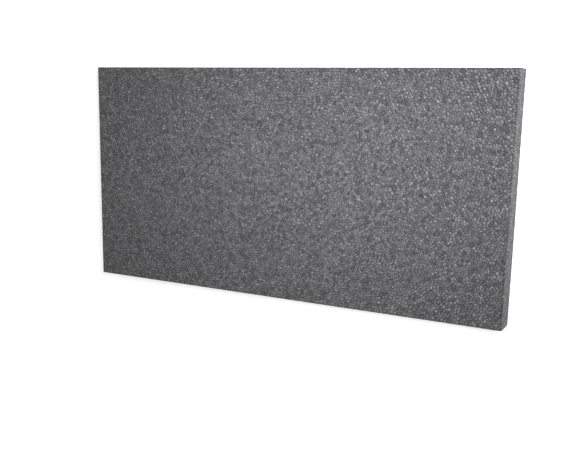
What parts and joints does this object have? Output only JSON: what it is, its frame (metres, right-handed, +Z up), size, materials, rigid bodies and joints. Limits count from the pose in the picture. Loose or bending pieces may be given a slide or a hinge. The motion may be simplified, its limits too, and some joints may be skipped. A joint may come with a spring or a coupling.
{
  "type": "graphite polystyrene insulation board",
  "caption": "Flat rectangular insulation board of graphite-grey expanded polystyrene, cut square with butt edges, for lining walls, floors and roofs.",
  "frame": {"origin": "centre of the underside", "axes": "+X along the length, +Y along the width, +Z up through the thickness"},
  "size_m": [1, 0.5, 0.05],
  "materials": {
    "graphite_foam": "hot-wire cut face of fused graphite-grey foam beads, matte with small bright specks"
  },
  "bodies": {
    "root": {"board": "graphite_foam"}
  },
  "joints": []
}
